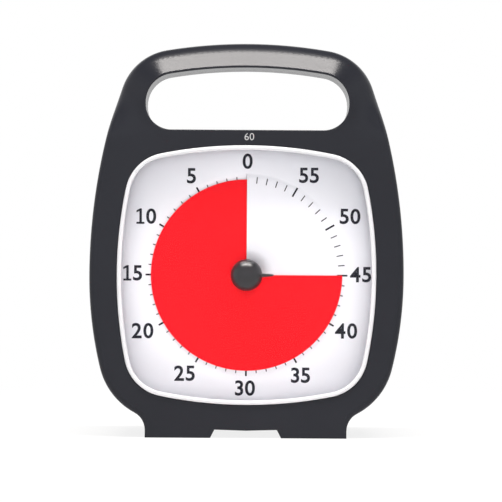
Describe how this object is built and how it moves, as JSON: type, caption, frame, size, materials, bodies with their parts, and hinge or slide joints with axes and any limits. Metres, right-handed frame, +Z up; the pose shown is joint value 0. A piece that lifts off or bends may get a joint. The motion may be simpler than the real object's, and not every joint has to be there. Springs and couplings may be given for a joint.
{
  "type": "visual countdown timer",
  "caption": "Free-standing countdown timer: dark housing with a carrying handle, clear lens, white 0 to 60 dial and a red disc that slips behind the dial through a slit.",
  "frame": {"origin": "bottom centre of the whole part's box, on the surface it stands on", "axes": "+X to the right seen from the front, the front faces -Y, +Z up"},
  "size_m": [0.1412, 0.057, 0.1778],
  "materials": {
    "housing": "fine satin texture",
    "lens_clear": "clear, gloss",
    "dial_white": "smooth matt",
    "disc_red": "satin film",
    "knob_dark": "satin gloss",
    "white_plastic": "moulded, plain",
    "black_plastic": "moulded, plain",
    "steel": "plain",
    "brass": "turned",
    "copper": "wound enamelled wire",
    "spring_plate": "nickel-plated",
    "magnet": "sintered",
    "board": "solder mask",
    "cell_can": "plain sleeve"
  },
  "bodies": {
    "root": {"front_bezel": "housing", "rear_shell": "housing", "lens": "lens_clear", "dial_plate": "dial_white", "inner_frame": "white_plastic", "movement_case": "white_plastic", "movement_cover": "white_plastic", "movement_nut": "brass", "stator": "steel", "coil": "copper", "circuit_board": "board", "buzzer": "black_plastic", "volume_pot": "black_plastic", "contact_plus": "spring_plate", "contact_minus": "spring_plate", "housing_screw_1": "steel", "housing_screw_2": "steel", "housing_screw_3": "steel", "housing_screw_4": "steel"},
    "knob": {"knob": "knob_dark", "arbor": "steel", "arbor_wheel": "white_plastic", "clutch_spring": "spring_plate"},
    "disc": {"red_disc": "disc_red", "disc_hub": "black_plastic"},
    "reduction": {"reduction_wheel": "white_plastic", "reduction_pinion": "white_plastic"},
    "rotor": {"rotor_pinion": "white_plastic", "rotor_magnet": "magnet"},
    "volume": {"volume_wheel": "black_plastic"},
    "door": {"battery_door": "housing"},
    "screw": {"door_screw": "steel"},
    "cell": {"battery_cell": "cell_can"}
  },
  "joints": [
    {"name": "knob_turn", "type": "hinge", "parent": "root", "child": "knob", "pos_m": [0, -0.0215, 0.07305], "axis": [0, -1, 0], "range_deg": [-270, 90]},
    {"name": "disc_slide", "type": "slide", "parent": "knob", "child": "disc", "axis": [0, -1, 0], "range_m": [-0.00106, 0.00036]},
    {"name": "reduction_turn", "type": "hinge", "parent": "root", "child": "reduction", "pos_m": [0.014, -0.0215, 0.07305], "axis": [0, -1, 0], "range_deg": [-226, 676]},
    {"name": "rotor_turn", "type": "hinge", "parent": "root", "child": "rotor", "pos_m": [0.014, -0.0215, 0.06005], "axis": [0, -1, 0], "range_deg": [-1520, 507]},
    {"name": "volume_turn", "type": "hinge", "parent": "root", "child": "volume", "pos_m": [0.032, 0.0285, 0.068], "axis": [0, 1, 0], "range_deg": [0, 270]},
    {"name": "door_lift", "type": "slide", "parent": "root", "child": "door", "axis": [0, 1, 0], "range_m": [0, 0.06]},
    {"name": "screw_turn", "type": "hinge", "parent": "door", "child": "screw", "pos_m": [0, 0.0285, 0.0396], "axis": [0, 1, 0], "continuous": true},
    {"name": "cell_lift", "type": "slide", "parent": "root", "child": "cell", "axis": [0, 1, 0], "range_m": [0, 0.037]}
  ],
  "couplings": [
    {"joint": "disc_slide", "follows": "knob_turn", "m_per_rad": 0.00022282},
    {"joint": "reduction_turn", "follows": "knob_turn", "ratio": -2.5},
    {"joint": "rotor_turn", "follows": "knob_turn", "ratio": 5.625},
    {"joint": "cell_lift", "follows": "door_lift", "ratio": 0.6}
  ]
}
